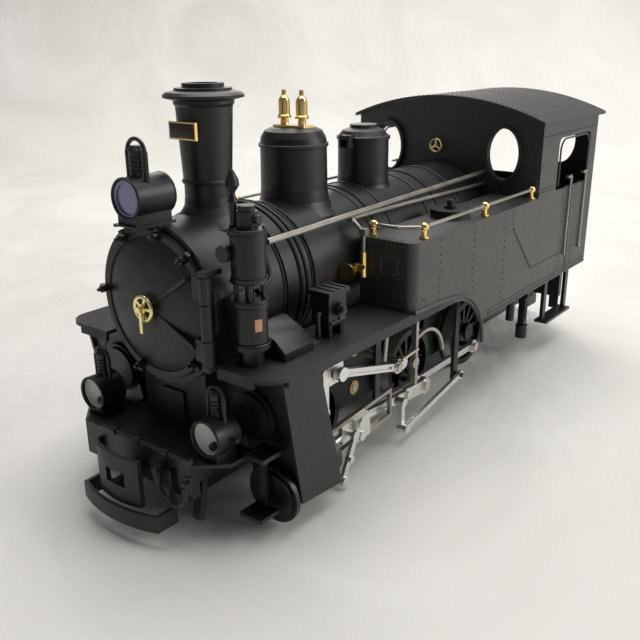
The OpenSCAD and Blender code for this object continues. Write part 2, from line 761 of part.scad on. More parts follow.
module slide_bars() color(steel) {
  both() {
    sloping(low_x, 0, axle_z) {
      for (s = [-1, 1]) box(-24.3, 25.4, 44.4, 46.4, s * 6.4 - 0.8, s * 6.4 + 0.8);
      box(-25.7, -24.3, 44.4, 46.4, -7.2, 7.2);
    }
    sloping(up_x, 0, up_z) box(-36, 16.4, 40, 44.4, 7, 9.4);
  }
}

module motion_brackets() color(steel) {
  both() {
    box(41.2, 43.2, 51, 53.6, 30, board_z - 1.6);
    difference() {
      ycyl(33, 37, 51.6, 53, 17.4);
      ycyl(33, 37, 51, 54, 16);
      box(0, 60, 50, 55, 0, 39);
      box(42, 60, 50, 55, 0, 80);
    }
  }
}

module steps() color(black) {
  both() {
    difference() {
      box(134, 146, 42.4, 52, 34.5, 36.2);
      box(135, 145, 43.4, 51, 35.3, 37);
    }
    difference() {
      box(136.6, 147, 40, 51, 9.4, 11);
      box(137.6, 146, 41, 50, 10.2, 12);
    }
    box(137.4, 139, 43.6, 46.4, 11, 34.5);
    for (x = [-141, -108]) box(x, x + 4, 52, 54, 19, skirt_z);
    box(-141, -104, 49, 57, 18, 19.4);
    box(-99, -91, 41, 49, 36, skirt_z);
    box(-97, -93, 43, 47, 16, 36);
    zcyl(-95, 45, 10, 18, 3.4);
    zcyl(-77, 45, 26, skirt_z, 2.4);
  }
}

module half_ring(x, y, z, r, t) {
  translate([x, y, z]) rotate([90, 0, 90]) difference() {
    rotate_extrude() translate([r, 0]) circle(r = t, $fn = 20);
    translate([-30, 0, -5]) cube([60, 30, 10]);
  }
}

module brake_pipes() color(grey) {
  ycyl(163.2, 36.6, -18, 31.2, 0.9);
  for (y = [-12, 2, 18]) ycyl(163.2, 36.6, y, y + 3, 1.5);
  box(162, 164.4, 30, 32.4, 35.4, 37.8);
  zcyl(163.2, 31.2, 22.6, 36, 0.95);
  box(162, 164.6, 30, 32.6, 29, 31);
  box(162.2, 167.8, 15.8, 18.4, 29, 31.4);
  zcyl(166.2, 17.1, 25, 29.4, 1.5);
  half_ring(166.2, 24.6, 25.4, 7.5, 1.1);
  zcyl(166.2, 32.1, 25, 28, 1.4);
  box(164, 167, 30.9, 33.3, 27, 29.6);
  half_ring(-160.2, 30, 28, 5, 1);
  for (y = [25, 35]) zcyl(-160.2, y, 27.4, 31.4, 1.25);
  box(-161.4, -158, 24, 26, 31, 33);
  box(-161.4, -158, 34, 36, 31, 33);
}

module wheel(a) {
  difference() {
    union() {
      ycyl(0, 0, 20.4, 21.6, wr + flange_h);
      ycyl(0, 0, 20.4, 27.5, wr);
    }
    ycyl(0, 0, 20, 28, wr - 3);
  }
  ycyl(0, 0, 20.4, 29, 4.8);
  for (k = [0:11]) rotate([0, 30 * k + 7 - a, 0]) box(3, wr - 2, 22, 25.4, -1, 1);
  rotate([0, -a, 0]) box(0, throw, 22.4, 27.8, -3.2, 3.2);
  translate([throw * cos(a), 0, throw * sin(a)]) rotate([0, 17, 0]) ycyl(0, 0, 22.2, 28.8, 3.6);
}

module wheelset(x, pin_y) {
  translate([x, 0, axle_z]) {
    ycyl(0, 0, -20.6, 20.6, axle_d / 2);
    wheel(crank_a);
    mirror([0, 1, 0]) wheel(crank_a + 90);
    translate([throw * cos(crank_a), 0, throw * sin(crank_a)]) ycyl(0, 0, 28, pin_y, pr);
    mirror([0, 1, 0]) translate([throw * cos(crank_a + 90), 0, throw * sin(crank_a + 90)]) ycyl(0, 0, 28, pin_y, pr);
  }
}

module front_wheelset() color(black) {
  wheelset(axle_f, 37.4);
}

module driving_wheelset() color(black) {
  wheelset(axle_m, 42.8);
}

module rear_wheelset() color(black) {
  wheelset(axle_r, 37.4);
}

module coupling_rod(a) {
  z = axle_z + throw * sin(a);
  dx = throw * cos(a);
  difference() {
    union() {
      box(axle_r + dx, axle_f + dx, 34, 36.4, z - 1.7, z + 1.7);
      for (x = axles) ycyl(x + dx, z, 33.6, 37, 3.7);
      for (x = [axle_f, axle_r]) ycyl(x + dx, z, 37, 38.4, 2.6);
    }
    for (x = [axle_f, axle_r]) ycyl(x + dx, z, 30, 37.6, pr + run);
    ycyl(axle_m + dx, z, 30, 45, pr + run);
  }
}

module coupling_rod_left() color(steel) {
  coupling_rod(crank_a);
}

module coupling_rod_right() color(steel) {
  mirror([0, 1, 0]) coupling_rod(crank_a + 90);
}

module main_rod(a) {
  x0 = axle_m + throw * cos(a);
  z0 = axle_z + throw * sin(a);
  x1 = low_x + throw * cos(a) - throw * cos(crank_a);
  difference() {
    union() {
      bar(x0, z0, x1, axle_z, 40.2, 42.6, 4.2);
      ycyl(x0, z0, 40, 42.8, 4.2);
      ycyl(x0, z0, 42.8, 43.9, 2.8);
      ycyl(x1, axle_z, 40, 42.8, 3.4);
      bar(x0, z0, x0 + 0.3 * (x1 - x0), z0 + 0.3 * (axle_z - z0), 40, 42.8, 6.4);
      ycyl(x0 + 0.26 * (x1 - x0), z0 + 0.26 * (axle_z - z0), 40, 43.9, 2.4);
    }
    ycyl(x0, z0, 39, 42.9, pr + run);
    bar(x0 + 0.38 * (x1 - x0), z0 + 0.38 * (axle_z - z0), x0 + 0.9 * (x1 - x0), z0 + 0.9 * (axle_z - z0), 42, 43, 2);
  }
}

module main_rod_left() color(steel) {
  main_rod(crank_a);
}

module main_rod_right() color(steel) {
  mirror([0, 1, 0]) main_rod(crank_a + 90);
}

module upper_rod(a) {
  x0 = rack_x + rack_throw * cos(a);
  z0 = rack_z + rack_throw * sin(a);
  x1 = up_x + rack_throw * cos(a) - rack_throw * cos(rack_a);
  difference() {
    union() {
      bar(x0, z0, x1, up_z, 47.2, 49.2, 3.4);
      ycyl(x0, z0, 47, 49.4, 3.1);
      ycyl(x0, z0, 49.4, 50.4, 2.2);
      ycyl(x1, up_z, 47, 50.4, 3);
    }
    ycyl(x0, z0, 46, 49.5, 1.2 + run);
    bar(x0 + 0.12 * (x1 - x0), z0 + 0.12 * (up_z - z0), x0 + 0.9 * (x1 - x0), z0 + 0.9 * (up_z - z0), 48.4, 50, 1.4);
  }
}

module upper_rod_left() color(steel) {
  upper_rod(rack_a);
}

module upper_rod_right() color(steel) {
  mirror([0, 1, 0]) upper_rod(rack_a + 90);
}

// piston, piston rod, crosshead and its drop levers; dx is how far along its stroke it stands
module lower_crosshead(dx) {
  sloping(low_x, 0, axle_z) translate([dx, 0, 0]) {
    xcyl(50, 54, low_y, 0, bore_d / 2 - 0.1);
    xcyl(4, 50, low_y, 0, 1.4);
    box(-5, 5, 44.4, 48.4, -5.5, 5.5);
    for (z = [-3.2, 3.2]) ycyl(2, z, 48.4, 49.6, 2.2);
    ycyl(0, 0, 43.1, 44.4, 1.4);
    box(5, 13, 44.4, 46.4, -3, 5.5);
  }
  translate([dx, 0, 0]) {
    ycyl(low_x + 10, axle_z + 1, 46, 50.2, 1.2);
    bar(low_x + 10, axle_z + 1, low_x + 19, 4, 50.2, 51.8, 3);
    ycyl(low_x + 10, axle_z + 1, 50.2, 51.8, 2.2);
    ycyl(low_x + 19, 4, 50, 53, 2.2);
    ycyl(low_x + 14.6, 12.4, 51.8, 53, 1.6);
  }
}

module crosshead_left() color(steel) {
  lower_crosshead(0);
}

module crosshead_right() color(steel) {
  mirror([0, 1, 0]) lower_crosshead(throw * cos(crank_a + 90) - throw * cos(crank_a));
}

module upper_crosshead(dx) {
  sloping(up_x, 0, up_z) translate([dx, 0, 0]) {
    xcyl(37, 41, up_y, 0, bore_d / 2 - 0.1);
    xcyl(4, 37, up_y, 0, 1.3);
    box(-5, 5, 37, 46.4, -4.5, 3.6);
    box(-5, 5, 40, 44.4, 3.6, 6.9);
    ycyl(0, 3.4, 46.4, 46.8, 2.2);
    ycyl(0, -2.2, 46.4, 46.8, 2.2);
    box(5, 9, 42, 46.4, -2, 3);
  }
  translate([dx, 0, 0]) {
    box(up_x + 5.2, up_x + 8.8, 44.6, 46.6, up_z - 16, up_z + 3);
    ycyl(up_x + 7, up_z - 16, 44.2, 46.7, 2.3);
  }
}

module upper_crosshead_left() color(steel) {
  upper_crosshead(0);
}

module upper_crosshead_right() color(steel) {
  mirror([0, 1, 0]) upper_crosshead(rack_throw * cos(rack_a + 90) - rack_throw * cos(rack_a));
}

module rack_crank(a) {
  ycyl(0, 0, 4, 45, 2);
  ycyl(0, 0, 44.4, 46.8, 3.1);
  rotate([0, -a, 0]) box(0, rack_throw, 44.6, 46.5, -2.3, 2.3);
  translate([rack_throw * cos(a), 0, rack_throw * sin(a)]) {
    rotate([0, 13, 0]) ycyl(0, 0, 44.5, 46.6, 2.8);
    ycyl(0, 0, 46, 49.4, 1.2);
  }
}

module rack_shaft() color(steel) {
  translate([rack_x, 0, rack_z]) {
    rack_crank(rack_a);
    mirror([0, 1, 0]) rack_crank(rack_a + 90);
    translate([0, 4.5, 0]) rotate([90, 0, 0]) linear_extrude(9) rotate(-90 + 180 / pinion_t) gear_2d(gear_m, pinion_t);
  }
}

module rack_wheel() color(steel) {
  translate([rack_x, 0, rack_wz]) {
    ycyl(0, 0, -19, 19, 2);
    translate([0, 5, 0]) rotate([90, 0, 0]) linear_extrude(10) rotate(90) gear_2d(gear_m, wheel_t);
  }
}

module buffer_head() {
  difference() {
    union() {
      intersection() {
        difference() {
          zcyl(173 - 40, 0, 14, 33.4, 40);
          zcyl(173 - 40, 0, 13, 35, 38);
        }
        box(160, 174, -12, 12, 14, 33.4);
      }
      box(166, 171.6, -4, 4, 19.5, 28.5);
      xcyl(148, 167, 0, 24, 2.5);
    }
    box(167, 174, -5.4, 5.4, 21, 27);
    zcyl(169, 0, 18, 30, 1.1);
    box(145, 150, -1, 1, 20, 28);
  }
}

module front_buffer() color(grey) {
  buffer_head();
}

module rear_buffer() color(grey) {
  mirror([1, 0, 0]) difference() {
    buffer_head();
    box(140, 152, -5, 5, 20, 28);
  }
}

module valve_links() {
  difference() {
    union() {
      bar(-6.6, 17.2, 46, 8, 50, 51.6, 2.6);
      ycyl(-6.6, 17.2, 50, 51.6, 2.4);
      ycyl(46, 8, 49.6, 52.4, 2.2);
    }
    ycyl(-6.6, 17.2, 49, 53, 1.2 + run);
  }
  bar(46, 8.5, 46, 21, 47.2, 49.6, 2.8);
  ycyl(46, 21, 45.4, 50.4, 2);
  ycyl(46, 8, 47.2, 49.6, 2.1);
}

module valve_links_left() color(steel) {
  valve_links();
}

module valve_links_right() color(steel) {
  mirror([0, 1, 0]) valve_links();
}

main_frame();
axle_bushes();
front_platform();
rear_beam();
coupling_hoops();
running_boards();
smokebox();
door_dogs();
chimney();
chimney_plate();
boiler();
steam_dome();
safety_valves();
sand_dome();
left_tank();
right_tank();
cab_body();
backhead();
burner();
air_pump();
boiler_pipes();
feed_valve();
handrails();
handrail_balls();
lubricator();
headlamps();
lamp_lenses();
cylinders();
cylinder_covers();
slide_bars();
motion_brackets();
steps();
brake_pipes();
smokebox_door();
door_handwheel();
front_wheelset();
driving_wheelset();
rear_wheelset();
coupling_rod_left();
coupling_rod_right();
main_rod_left();
main_rod_right();
upper_rod_left();
upper_rod_right();
crosshead_left();
crosshead_right();
upper_crosshead_left();
upper_crosshead_right();
rack_shaft();
rack_wheel();
cab_roof();
front_buffer();
rear_buffer();
sand_dome_lid();
left_filler_lid();
right_filler_lid();
valve_links_left();
valve_links_right();
cab_handwheel();
regulator_lever();
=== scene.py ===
import json
import math

import bmesh
import bpy
from mathutils import Matrix, Vector


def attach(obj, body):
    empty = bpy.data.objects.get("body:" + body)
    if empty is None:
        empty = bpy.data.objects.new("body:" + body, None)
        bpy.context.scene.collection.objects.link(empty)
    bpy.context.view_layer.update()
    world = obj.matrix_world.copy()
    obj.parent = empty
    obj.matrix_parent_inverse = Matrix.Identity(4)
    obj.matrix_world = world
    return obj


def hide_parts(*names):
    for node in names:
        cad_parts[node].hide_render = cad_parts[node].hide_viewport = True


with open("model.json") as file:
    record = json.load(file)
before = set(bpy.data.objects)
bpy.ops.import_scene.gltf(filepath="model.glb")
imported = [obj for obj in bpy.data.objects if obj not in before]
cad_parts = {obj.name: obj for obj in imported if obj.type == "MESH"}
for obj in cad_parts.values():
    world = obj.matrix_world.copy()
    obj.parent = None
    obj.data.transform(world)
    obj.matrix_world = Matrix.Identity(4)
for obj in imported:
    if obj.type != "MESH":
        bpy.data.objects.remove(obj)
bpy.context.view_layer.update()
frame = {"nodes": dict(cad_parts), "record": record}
nodes = frame["nodes"]
MM = 0.001

# ---------------------------------------------------------------- materials


def shader(name):
    """A new material and its principled shader."""
    m = bpy.data.materials.new(name)
    m.use_nodes = True
    return m, m.node_tree.nodes["Principled BSDF"]


def wire(m, a, out, b, into):
    m.node_tree.links.new(a.outputs[out], b.inputs[into])


def grain(m, scale, detail=4.0, rough=0.55):
    """Noise over the object's own coordinates."""
    t = m.node_tree.nodes
    where = t.new("ShaderNodeTexCoord")
    n = t.new("ShaderNodeTexNoise")
    n.inputs["Scale"].default_value = scale
    n.inputs["Detail"].default_value = detail
    n.inputs["Roughness"].default_value = rough
    wire(m, where, "Object", n, "Vector")
    return n


def spread(m, source, low, high, start=0.3, stop=0.7):
    """Maps a 0 to 1 value onto a range."""
    r = m.node_tree.nodes.new("ShaderNodeMapRange")
    r.inputs["From Min"].default_value = start
    r.inputs["From Max"].default_value = stop
    r.inputs["To Min"].default_value = low
    r.inputs["To Max"].default_value = high
    wire(m, source, "Fac" if "Fac" in source.outputs else "Result", r, "Value")
    return r


def tint(m, source, dark, light, start=0.3, stop=0.7):
    """Blends two colours by a 0 to 1 value."""
    c = m.node_tree.nodes.new("ShaderNodeValToRGB")
    c.color_ramp.elements[0].position = start
    c.color_ramp.elements[1].position = stop
    c.color_ramp.elements[0].color = (*dark, 1)
    c.color_ramp.elements[1].color = (*light, 1)
    wire(m, source, "Fac" if "Fac" in source.outputs else "Result", c, "Fac")
    return c


def pit(m, p, source, strength, distance):
    b = m.node_tree.nodes.new("ShaderNodeBump")
    b.inputs["Strength"].default_value = strength
    b.inputs["Distance"].default_value = distance
    wire(m, source, "Fac", b, "Height")
    wire(m, b, "Normal", p, "Normal")


def paint(name, dark, light, rough_low, rough_high, metallic=0.0, coat=0.0, fine=900.0, bump=0.05):
    """Enamel or metal: a broad tint, a broad change of sheen and a fine surface grain."""
    m, p = shader(name)
    broad = grain(m, 34.0, 5.0)
    wire(m, tint(m, broad, dark, light), "Color", p, "Base Color")
    wire(m, spread(m, grain(m, 80.0, 6.0), rough_low, rough_high), "Result", p, "Roughness")
    p.inputs["Metallic"].default_value = metallic
    p.inputs["Coat Weight"].default_value = coat
    p.inputs["Coat Roughness"].default_value = 0.25
    pit(m, p, grain(m, fine, 3.0), bump, 0.0004)
    return m


def gloss(m, level):
    m.node_tree.nodes["Principled BSDF"].inputs["Specular IOR Level"].default_value = level
    return m


black = paint("satin_black_enamel", (0.006, 0.006, 0.0062), (0.009, 0.009, 0.0092), 0.34, 0.46)
# Tank, cab and roof sheet: the same black enamel, its base colour lightened to about three times the black as painted
# light, for the brighter look the sides get from the side lamp.
sheet = gloss(paint("tank_sheet_enamel_lightened_as_painted_light", (0.022, 0.0225, 0.0205), (0.026, 0.0265, 0.0245), 0.46, 0.54), 0.8)
soot = paint("smokebox_black", (0.007, 0.007, 0.007), (0.010, 0.010, 0.0098), 0.38, 0.5)
iron = paint("blackened_iron", (0.010, 0.010, 0.010), (0.018, 0.018, 0.018), 0.4, 0.55, metallic=0.1)
grid = paint("tread_plate_black", (0.012, 0.012, 0.0115), (0.02, 0.02, 0.019), 0.5, 0.62)
steel = paint("nickel_plated_steel", (0.70, 0.695, 0.67), (0.82, 0.815, 0.79), 0.22, 0.36, metallic=0.9)
cap = paint("pale_pin_caps", (0.52, 0.47, 0.38), (0.64, 0.58, 0.47), 0.34, 0.46, metallic=0.55)
pipe = paint("dull_steel_pipe", (0.34, 0.32, 0.28), (0.45, 0.43, 0.38), 0.3, 0.42, metallic=0.85)
brass = paint("turned_brass", (0.86, 0.60, 0.20), (0.96, 0.72, 0.30), 0.12, 0.22, metallic=1.0, bump=0.02)
gilt = paint("gilt_wheel", (0.92, 0.80, 0.38), (0.98, 0.87, 0.48), 0.22, 0.32, metallic=0.9, bump=0.02)
copper = paint("copper_label", (0.50, 0.24, 0.14), (0.62, 0.32, 0.20), 0.4, 0.5, metallic=0.3)
red = paint("red_grip", (0.30, 0.02, 0.015), (0.36, 0.03, 0.02), 0.3, 0.4)
mirror_white = paint("lamp_reflector", (0.60, 0.60, 0.585), (0.68, 0.68, 0.66), 0.3, 0.4)
plate_field = paint("number_plate_field", (0.020, 0.012, 0.008), (0.030, 0.018, 0.012), 0.4, 0.5)


def lamp_glass():
    """Violet glass in the top lamp, a white reflector in the two lower ones, told apart by height."""
    m, p = shader("lamp_glass")
    where = m.node_tree.nodes.new("ShaderNodeTexCoord")
    split = m.node_tree.nodes.new("ShaderNodeSeparateXYZ")
    wire(m, where, "Object", split, "Vector")
    high = m.node_tree.nodes.new("ShaderNodeMapRange")
    high.inputs["From Min"].default_value = 0.08
    high.inputs["From Max"].default_value = 0.10
    wire(m, split, "Z", high, "Value")
    wire(m, tint(m, high, (0.62, 0.62, 0.60), (0.21, 0.18, 0.35), 0.4, 0.6), "Color", p, "Base Color")
    p.inputs["Roughness"].default_value = 0.14
    p.inputs["Coat Weight"].default_value = 1.0
    p.inputs["Coat Roughness"].default_value = 0.05
    return m


lens_glass = lamp_glass()
FINISH = {"black_paint": black, "dark_iron": iron, "bright_steel": steel, "brass": brass, "red_paint": red,
    "lamp_glass": lens_glass}
OTHER = {
    "smokebox": soot, "smokebox_door": soot, "door_dogs": soot, "boiler_pipes": pipe, "handrails": pipe,
    "left_tank": sheet, "right_tank": sheet, "cab_body": sheet, "cab_roof": sheet,
    "running_boards": grid, "door_handwheel": gilt, "cab_handwheel": gilt,
    "slide_bars": pipe, "motion_brackets": pipe,
}
slots = {s["node"]: s["material_slot"] for s in frame["record"]["subparts"]}
for name, o in nodes.items():
    finish = OTHER.get(name, FINISH[slots[name]])
    if o.data.materials:
        for i in range(len(o.data.materials)):
            o.data.materials[i] = finish
    else:
        o.data.materials.append(finish)

# ---------------------------------------------------------------- building pieces


def finish_piece(bm, name, body, finish, sharp=32, stands_for=()):
    """Turns the collected faces into one object that rides on a body."""
    bmesh.ops.remove_doubles(bm, verts=bm.verts, dist=0.00001)
    bmesh.ops.recalc_face_normals(bm, faces=bm.faces)
    me = bpy.data.meshes.new(name)
    bm.to_mesh(me)
    bm.free()
    me.materials.append(finish)
    me.shade_smooth()
    me.set_sharp_from_angle(angle=math.radians(sharp))
    o = bpy.data.objects.new(name, me)
    bpy.context.scene.collection.objects.link(o)
    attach(o, body)
    if stands_for:
        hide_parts(*stands_for)
    return o


def along(axis):
    """The turn that takes +Z onto an axis."""
    return Vector(axis).normalized().to_track_quat("Z", "Y").to_matrix().to_4x4()


def turned(bm, outline, at, axis=(0, 0, 1), steps=48):
    """A lathe-turned shape from (radius, height) points in mm, standing at a place along an axis."""
    place = Matrix.Translation(Vector(at) * MM) @ along(axis)
    rings = []
    for r, h in outline:
        if r < 0.001:
            rings.append([bm.verts.new(place @ Vector((0, 0, h * MM)))])
            continue
        rings.append([bm.verts.new(place @ Vector((r * MM * math.cos(2 * math.pi * k / steps), r * MM * math.sin(2 * math.pi * k / steps), h * MM))) for k in range(steps)])
    for a, b in zip(rings, rings[1:]):
        for k in range(steps):
            n = (k + 1) % steps
            if len(a) == 1 and len(b) == 1:
                continue
            if len(a) == 1:
                bm.faces.new((a[0], b[k], b[n]))
            elif len(b) == 1:
                bm.faces.new((a[k], a[n], b[0]))
            else:
                bm.faces.new((a[k], a[n], b[n], b[k]))


def block(bm, low, high, edge=0.25, turn=None, segments=2):
    """A box between two corners in mm with its edges rounded off."""
    low, high = Vector(low) * MM, Vector(high) * MM
    made = bmesh.ops.create_cube(bm, size=1.0)["verts"]
    mid, size = (low + high) / 2, high - low
    for v in made:
        v.co = Vector((v.co.x * size.x, v.co.y * size.y, v.co.z * size.z)) + mid
    if edge:
        edges = list({e for v in made for e in v.link_edges})
        out = bmesh.ops.bevel(bm, geom=edges, offset=edge * MM, segments=segments, profile=0.5,
            affect="EDGES", clamp_overlap=True)
        made = list({v for f in out["faces"] for v in f.verts} | {v for v in made if v.is_valid})
    if turn is not None:
        for v in made:
            v.co = turn @ v.co
    return made


def tube(bm, points, radius, sides=12, bend=0.0, closed=False):
    """A round bar in mm along a path, its corners eased by bend."""
    path = [Vector(p) for p in points]
    if bend:
        eased = [path[0]]
        for a, b, c in zip(path, path[1:], path[2:]):
            back = (a - b).normalized() * min(bend, (a - b).length * 0.45)
            on = (c - b).normalized() * min(bend, (c - b).length * 0.45)
            for k in range(7):
                t = k / 6
                eased.append((1 - t) ** 2 * (b + back) + 2 * t * (1 - t) * b + t ** 2 * (b + on))
        path = eased + [path[-1]]
    count = len(path)
    frames = []
    up = None
    for i in range(count):
        if closed:
            d = (path[(i + 1) % count] - path[i - 1]).normalized()
        else:
            d = (path[min(i + 1, count - 1)] - path[max(i - 1, 0)]).normalized()
        if up is None:
            up = d.orthogonal().normalized()
        up = (up - d * up.dot(d)).normalized()
        frames.append((d, up, d.cross(up)))
    rings = []
    for q, (d, u, w) in zip(path, frames):
        rings.append([bm.verts.new((q + radius * (math.cos(2 * math.pi * k / sides) * u + math.sin(2 * math.pi * k / sides) * w)) * MM) for k in range(sides)])
    pairs = list(zip(rings, rings[1:]))
    if closed:
        pairs.append((rings[-1], rings[0]))
    for a, b in pairs:
        for k in range(sides):
            n = (k + 1) % sides
            bm.faces.new((a[k], a[n], b[n], b[k]))
    if not closed:
        bm.faces.new(list(reversed(rings[0])))
        bm.faces.new(rings[-1])


def ring(bm, at, axis, radius, thick, steps=48, sides=12):
    """A round ring in mm."""
    place = along(axis)
    points = [Vector(at) + place @ Vector((radius * math.cos(2 * math.pi * k / steps),
        radius * math.sin(2 * math.pi * k / steps), 0)) for k in range(steps)]
    tube(bm, points, thick, sides=sides, closed=True)


def slab(bm, outline, axis, start, end, edge=0.2):
    """A flat outline pushed out along an axis. The outline's two numbers are the other two axes in order."""
    def at(u, v, w):
        return Vector({"x": (w, u, v), "y": (u, w, v), "z": (u, v, w)}[axis]) * MM
    low = [bm.verts.new(at(u, v, start)) for u, v in outline]
    high = [bm.verts.new(at(u, v, end)) for u, v in outline]
    n = len(outline)
    caps = [bm.faces.new(list(reversed(low))), bm.faces.new(high)]
    for k in range(n):
        bm.faces.new((low[k], low[(k + 1) % n], high[(k + 1) % n], high[k]))
    if edge:
        edges = list({e for f in caps for e in f.edges})
        bmesh.ops.bevel(bm, geom=edges, offset=edge * MM, segments=2, profile=0.5, affect="EDGES",
            clamp_overlap=True)


def mirrored(bm, start=0):
    """Adds the same faces on the other side of the engine."""
    geom = list(bm.verts) + list(bm.edges) + list(bm.faces)
    copy = bmesh.ops.duplicate(bm, geom=geom)["geom"]
    for v in copy:
        if isinstance(v, bmesh.types.BMVert):
            v.co.y = -v.co.y


def shape(name, body, finish, build, both_sides=False, sharp=32, stands_for=()):
    bm = bmesh.new()
    build(bm)
    if both_sides:
        mirrored(bm)
    return finish_piece(bm, name, body, finish, sharp, stands_for)


# ---------------------------------------------------------------- repeated small pieces


def copies_group():
    """Geometry nodes: one copy of a small piece on every point, its top turned to the point's facing."""
    g = bpy.data.node_groups.new("copies_on_points", "GeometryNodeTree")
    face = g.interface
    face.new_socket("Points", in_out="INPUT", socket_type="NodeSocketGeometry")
    face.new_socket("Copy", in_out="INPUT", socket_type="NodeSocketObject")
    face.new_socket("Size", in_out="INPUT", socket_type="NodeSocketFloat")
    face.new_socket("Finish", in_out="INPUT", socket_type="NodeSocketMaterial")
    face.new_socket("Copies", in_out="OUTPUT", socket_type="NodeSocketGeometry")
    n, link = g.nodes.new, g.links.new
    start, end = n("NodeGroupInput"), n("NodeGroupOutput")
    facing, leaning = n("GeometryNodeInputNamedAttribute"), n("GeometryNodeInputNamedAttribute")
    facing.data_type = leaning.data_type = "FLOAT_VECTOR"
    facing.inputs["Name"].default_value = "facing"
    leaning.inputs["Name"].default_value = "leaning"
    up, turn = n("FunctionNodeAlignRotationToVector"), n("FunctionNodeAlignRotationToVector")
    up.axis, turn.axis, turn.pivot_axis = "Z", "X", "Z"
    dots, put = n("GeometryNodeMeshToPoints"), n("GeometryNodeInstanceOnPoints")
    source, real, dress = n("GeometryNodeObjectInfo"), n("GeometryNodeRealizeInstances"), n("GeometryNodeSetMaterial")
    link(start.outputs["Points"], dots.inputs["Mesh"])
    link(dots.outputs["Points"], put.inputs["Points"])
    link(start.outputs["Copy"], source.inputs["Object"])
    link(source.outputs["Geometry"], put.inputs["Instance"])
    link(facing.outputs["Attribute"], up.inputs["Vector"])
    link(leaning.outputs["Attribute"], turn.inputs["Vector"])
    link(up.outputs["Rotation"], turn.inputs["Rotation"])
    link(turn.outputs["Rotation"], put.inputs["Rotation"])
    link(start.outputs["Size"], put.inputs["Scale"])
    link(put.outputs["Instances"], real.inputs["Geometry"])
    link(real.outputs["Geometry"], dress.inputs["Geometry"])
    link(start.outputs["Finish"], dress.inputs["Material"])
    link(dress.outputs["Geometry"], end.inputs["Copies"])
    return g


COPIES = copies_group()


def pattern(name, outline_or_build):
    """A small piece to copy, kept out of sight."""
    bm = bmesh.new()
    outline_or_build(bm)
    me = bpy.data.meshes.new(name)
    bm.to_mesh(me)
    bm.free()
    me.shade_smooth()
    me.set_sharp_from_angle(angle=math.radians(40))
    return bpy.data.objects.new(name, me)


rivet = pattern("rivet_head",
    lambda bm: turned(bm, [(1.0, -0.05), (0.93, 0.22), (0.66, 0.46), (0, 0.58)], (0, 0, 0), steps=10))
tread_bar = pattern("tread_bar",
    lambda bm: block(bm, (-0.62, -0.17, -0.1), (0.62, 0.17, 0.16), edge=0.07, segments=1))


def copies(name, body, piece, points, finish, size=1.0):
    """points: (place in mm, facing, leaning) for each copy. Leaves one plain mesh that rides on a body."""
    me = bpy.data.meshes.new(name)
    me.from_pydata([tuple(Vector(p[0]) * MM) for p in points], [], [])
    for key, column in (("facing", 1), ("leaning", 2)):
        a = me.attributes.new(key, "FLOAT_VECTOR", "POINT")
        for i, p in enumerate(points):
            a.data[i].vector = p[column]
    o = bpy.data.objects.new(name + "_points", me)
    bpy.context.scene.collection.objects.link(o)
    m = o.modifiers.new("copies", "NODES")
    m.node_group = COPIES
    keys = {s.name: s.identifier for s in COPIES.interface.items_tree if s.in_out == "INPUT"}
    m[keys["Copy"]] = piece
    m[keys["Size"]] = size
    m[keys["Finish"]] = finish
    view_layer = bpy.context.view_layer
    view_layer.update()
    made = bpy.data.meshes.new_from_object(o.evaluated_get(bpy.context.evaluated_depsgraph_get()))
    made.name = name
    bpy.data.objects.remove(o)
    for key in ("facing", "leaning"):
        if key in made.attributes:
            made.attributes.remove(made.attributes[key])
    out = bpy.data.objects.new(name, made)
    bpy.context.scene.collection.objects.link(out)
    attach(out, body)
    return out


def line(a, b, count, facing, lean=(1, 0, 0)):
    """Evenly spaced points from a to b, for copies()."""
    a, b = Vector(a), Vector(b)
    return [(a + (b - a) * (k / max(1, count - 1)), facing, lean) for k in range(count)]


def other_side(points):
    """The same points mirrored to the other side of the engine."""
    return points + [((p[0], -p[1], p[2]), (f[0], -f[1], f[2]), (l[0], -l[1], l[2])) for p, f, l in points]


# ---------------------------------------------------------------- rivets, seams and tread plate

ENGINE = "locomotive"
LEFT, UP, AHEAD = (0, 1, 0), (0, 0, 1), (1, 0, 0)


def tank_rivets():
    out = []
    for x, z0, z1 in ((32.7, 66.0, 97.4), (0.6, 67.6, 97.4), (-33.0, 50.0, 97.4)):
        out += line((x, 58.5, z0), (x, 58.5, z1), round((z1 - z0) / 3.4) + 1, LEFT)
    return out


def cab_rivets():
    out = line((-42.2, 58.5, 88.6), (-41.6, 58.5, 97.4), 5, LEFT)
    for x in (-107.0, -126.0, -147.2):
        out += line((x, 58.5, 52.0), (x, 58.5, 99.6), 19, LEFT) + line((x - 3.2, 58.5, 53.3),
            (x - 3.2, 58.5, 100.9), 19, LEFT)
    out += line((-74.0, 58.5, 131.6), (-151.0, 58.5, 131.6), 34, LEFT)
    out += line((-74.4, 58.5, 103.6), (-93.0, 58.5, 103.6), 9, LEFT)
    for x, z in ((-75.0, 127.4), (-80.0, 127.4), (-75.0, 116.0), (-79.6, 116.0), (-77.0, 107.0)):
        out.append(((x, 58.5, z), LEFT, AHEAD))
    return out


def tank_front_rivets():
    out = line((55, 33.0, 97.6), (55, 53.4, 97.6), 10, AHEAD, LEFT) + line((55, 33.0, 70.6), (55, 53.4, 70.6),
        10, AHEAD, LEFT)
    out += line((52.8, 34.0, 99.4), (52.8, 55.0, 99.4), 10, UP, LEFT)
    for a, b, n in (((55, 40.6, 83.0), (55, 50.6, 83.0), 5), ((55, 40.6, 92.6), (55, 50.6, 92.6), 5),
        ((55, 40.6, 85.4), (55, 40.6, 90.2), 3), ((55, 50.6, 85.4), (55, 50.6, 90.2), 3)):
        out += line(a, b, n, AHEAD, LEFT)
    for k in range(7):
        a = math.pi * k / 6
        out.append(((46.6 - 2.6 * math.cos(a), 58.5, 70.2 + 3.2 * math.sin(a)), LEFT, AHEAD))
    return out


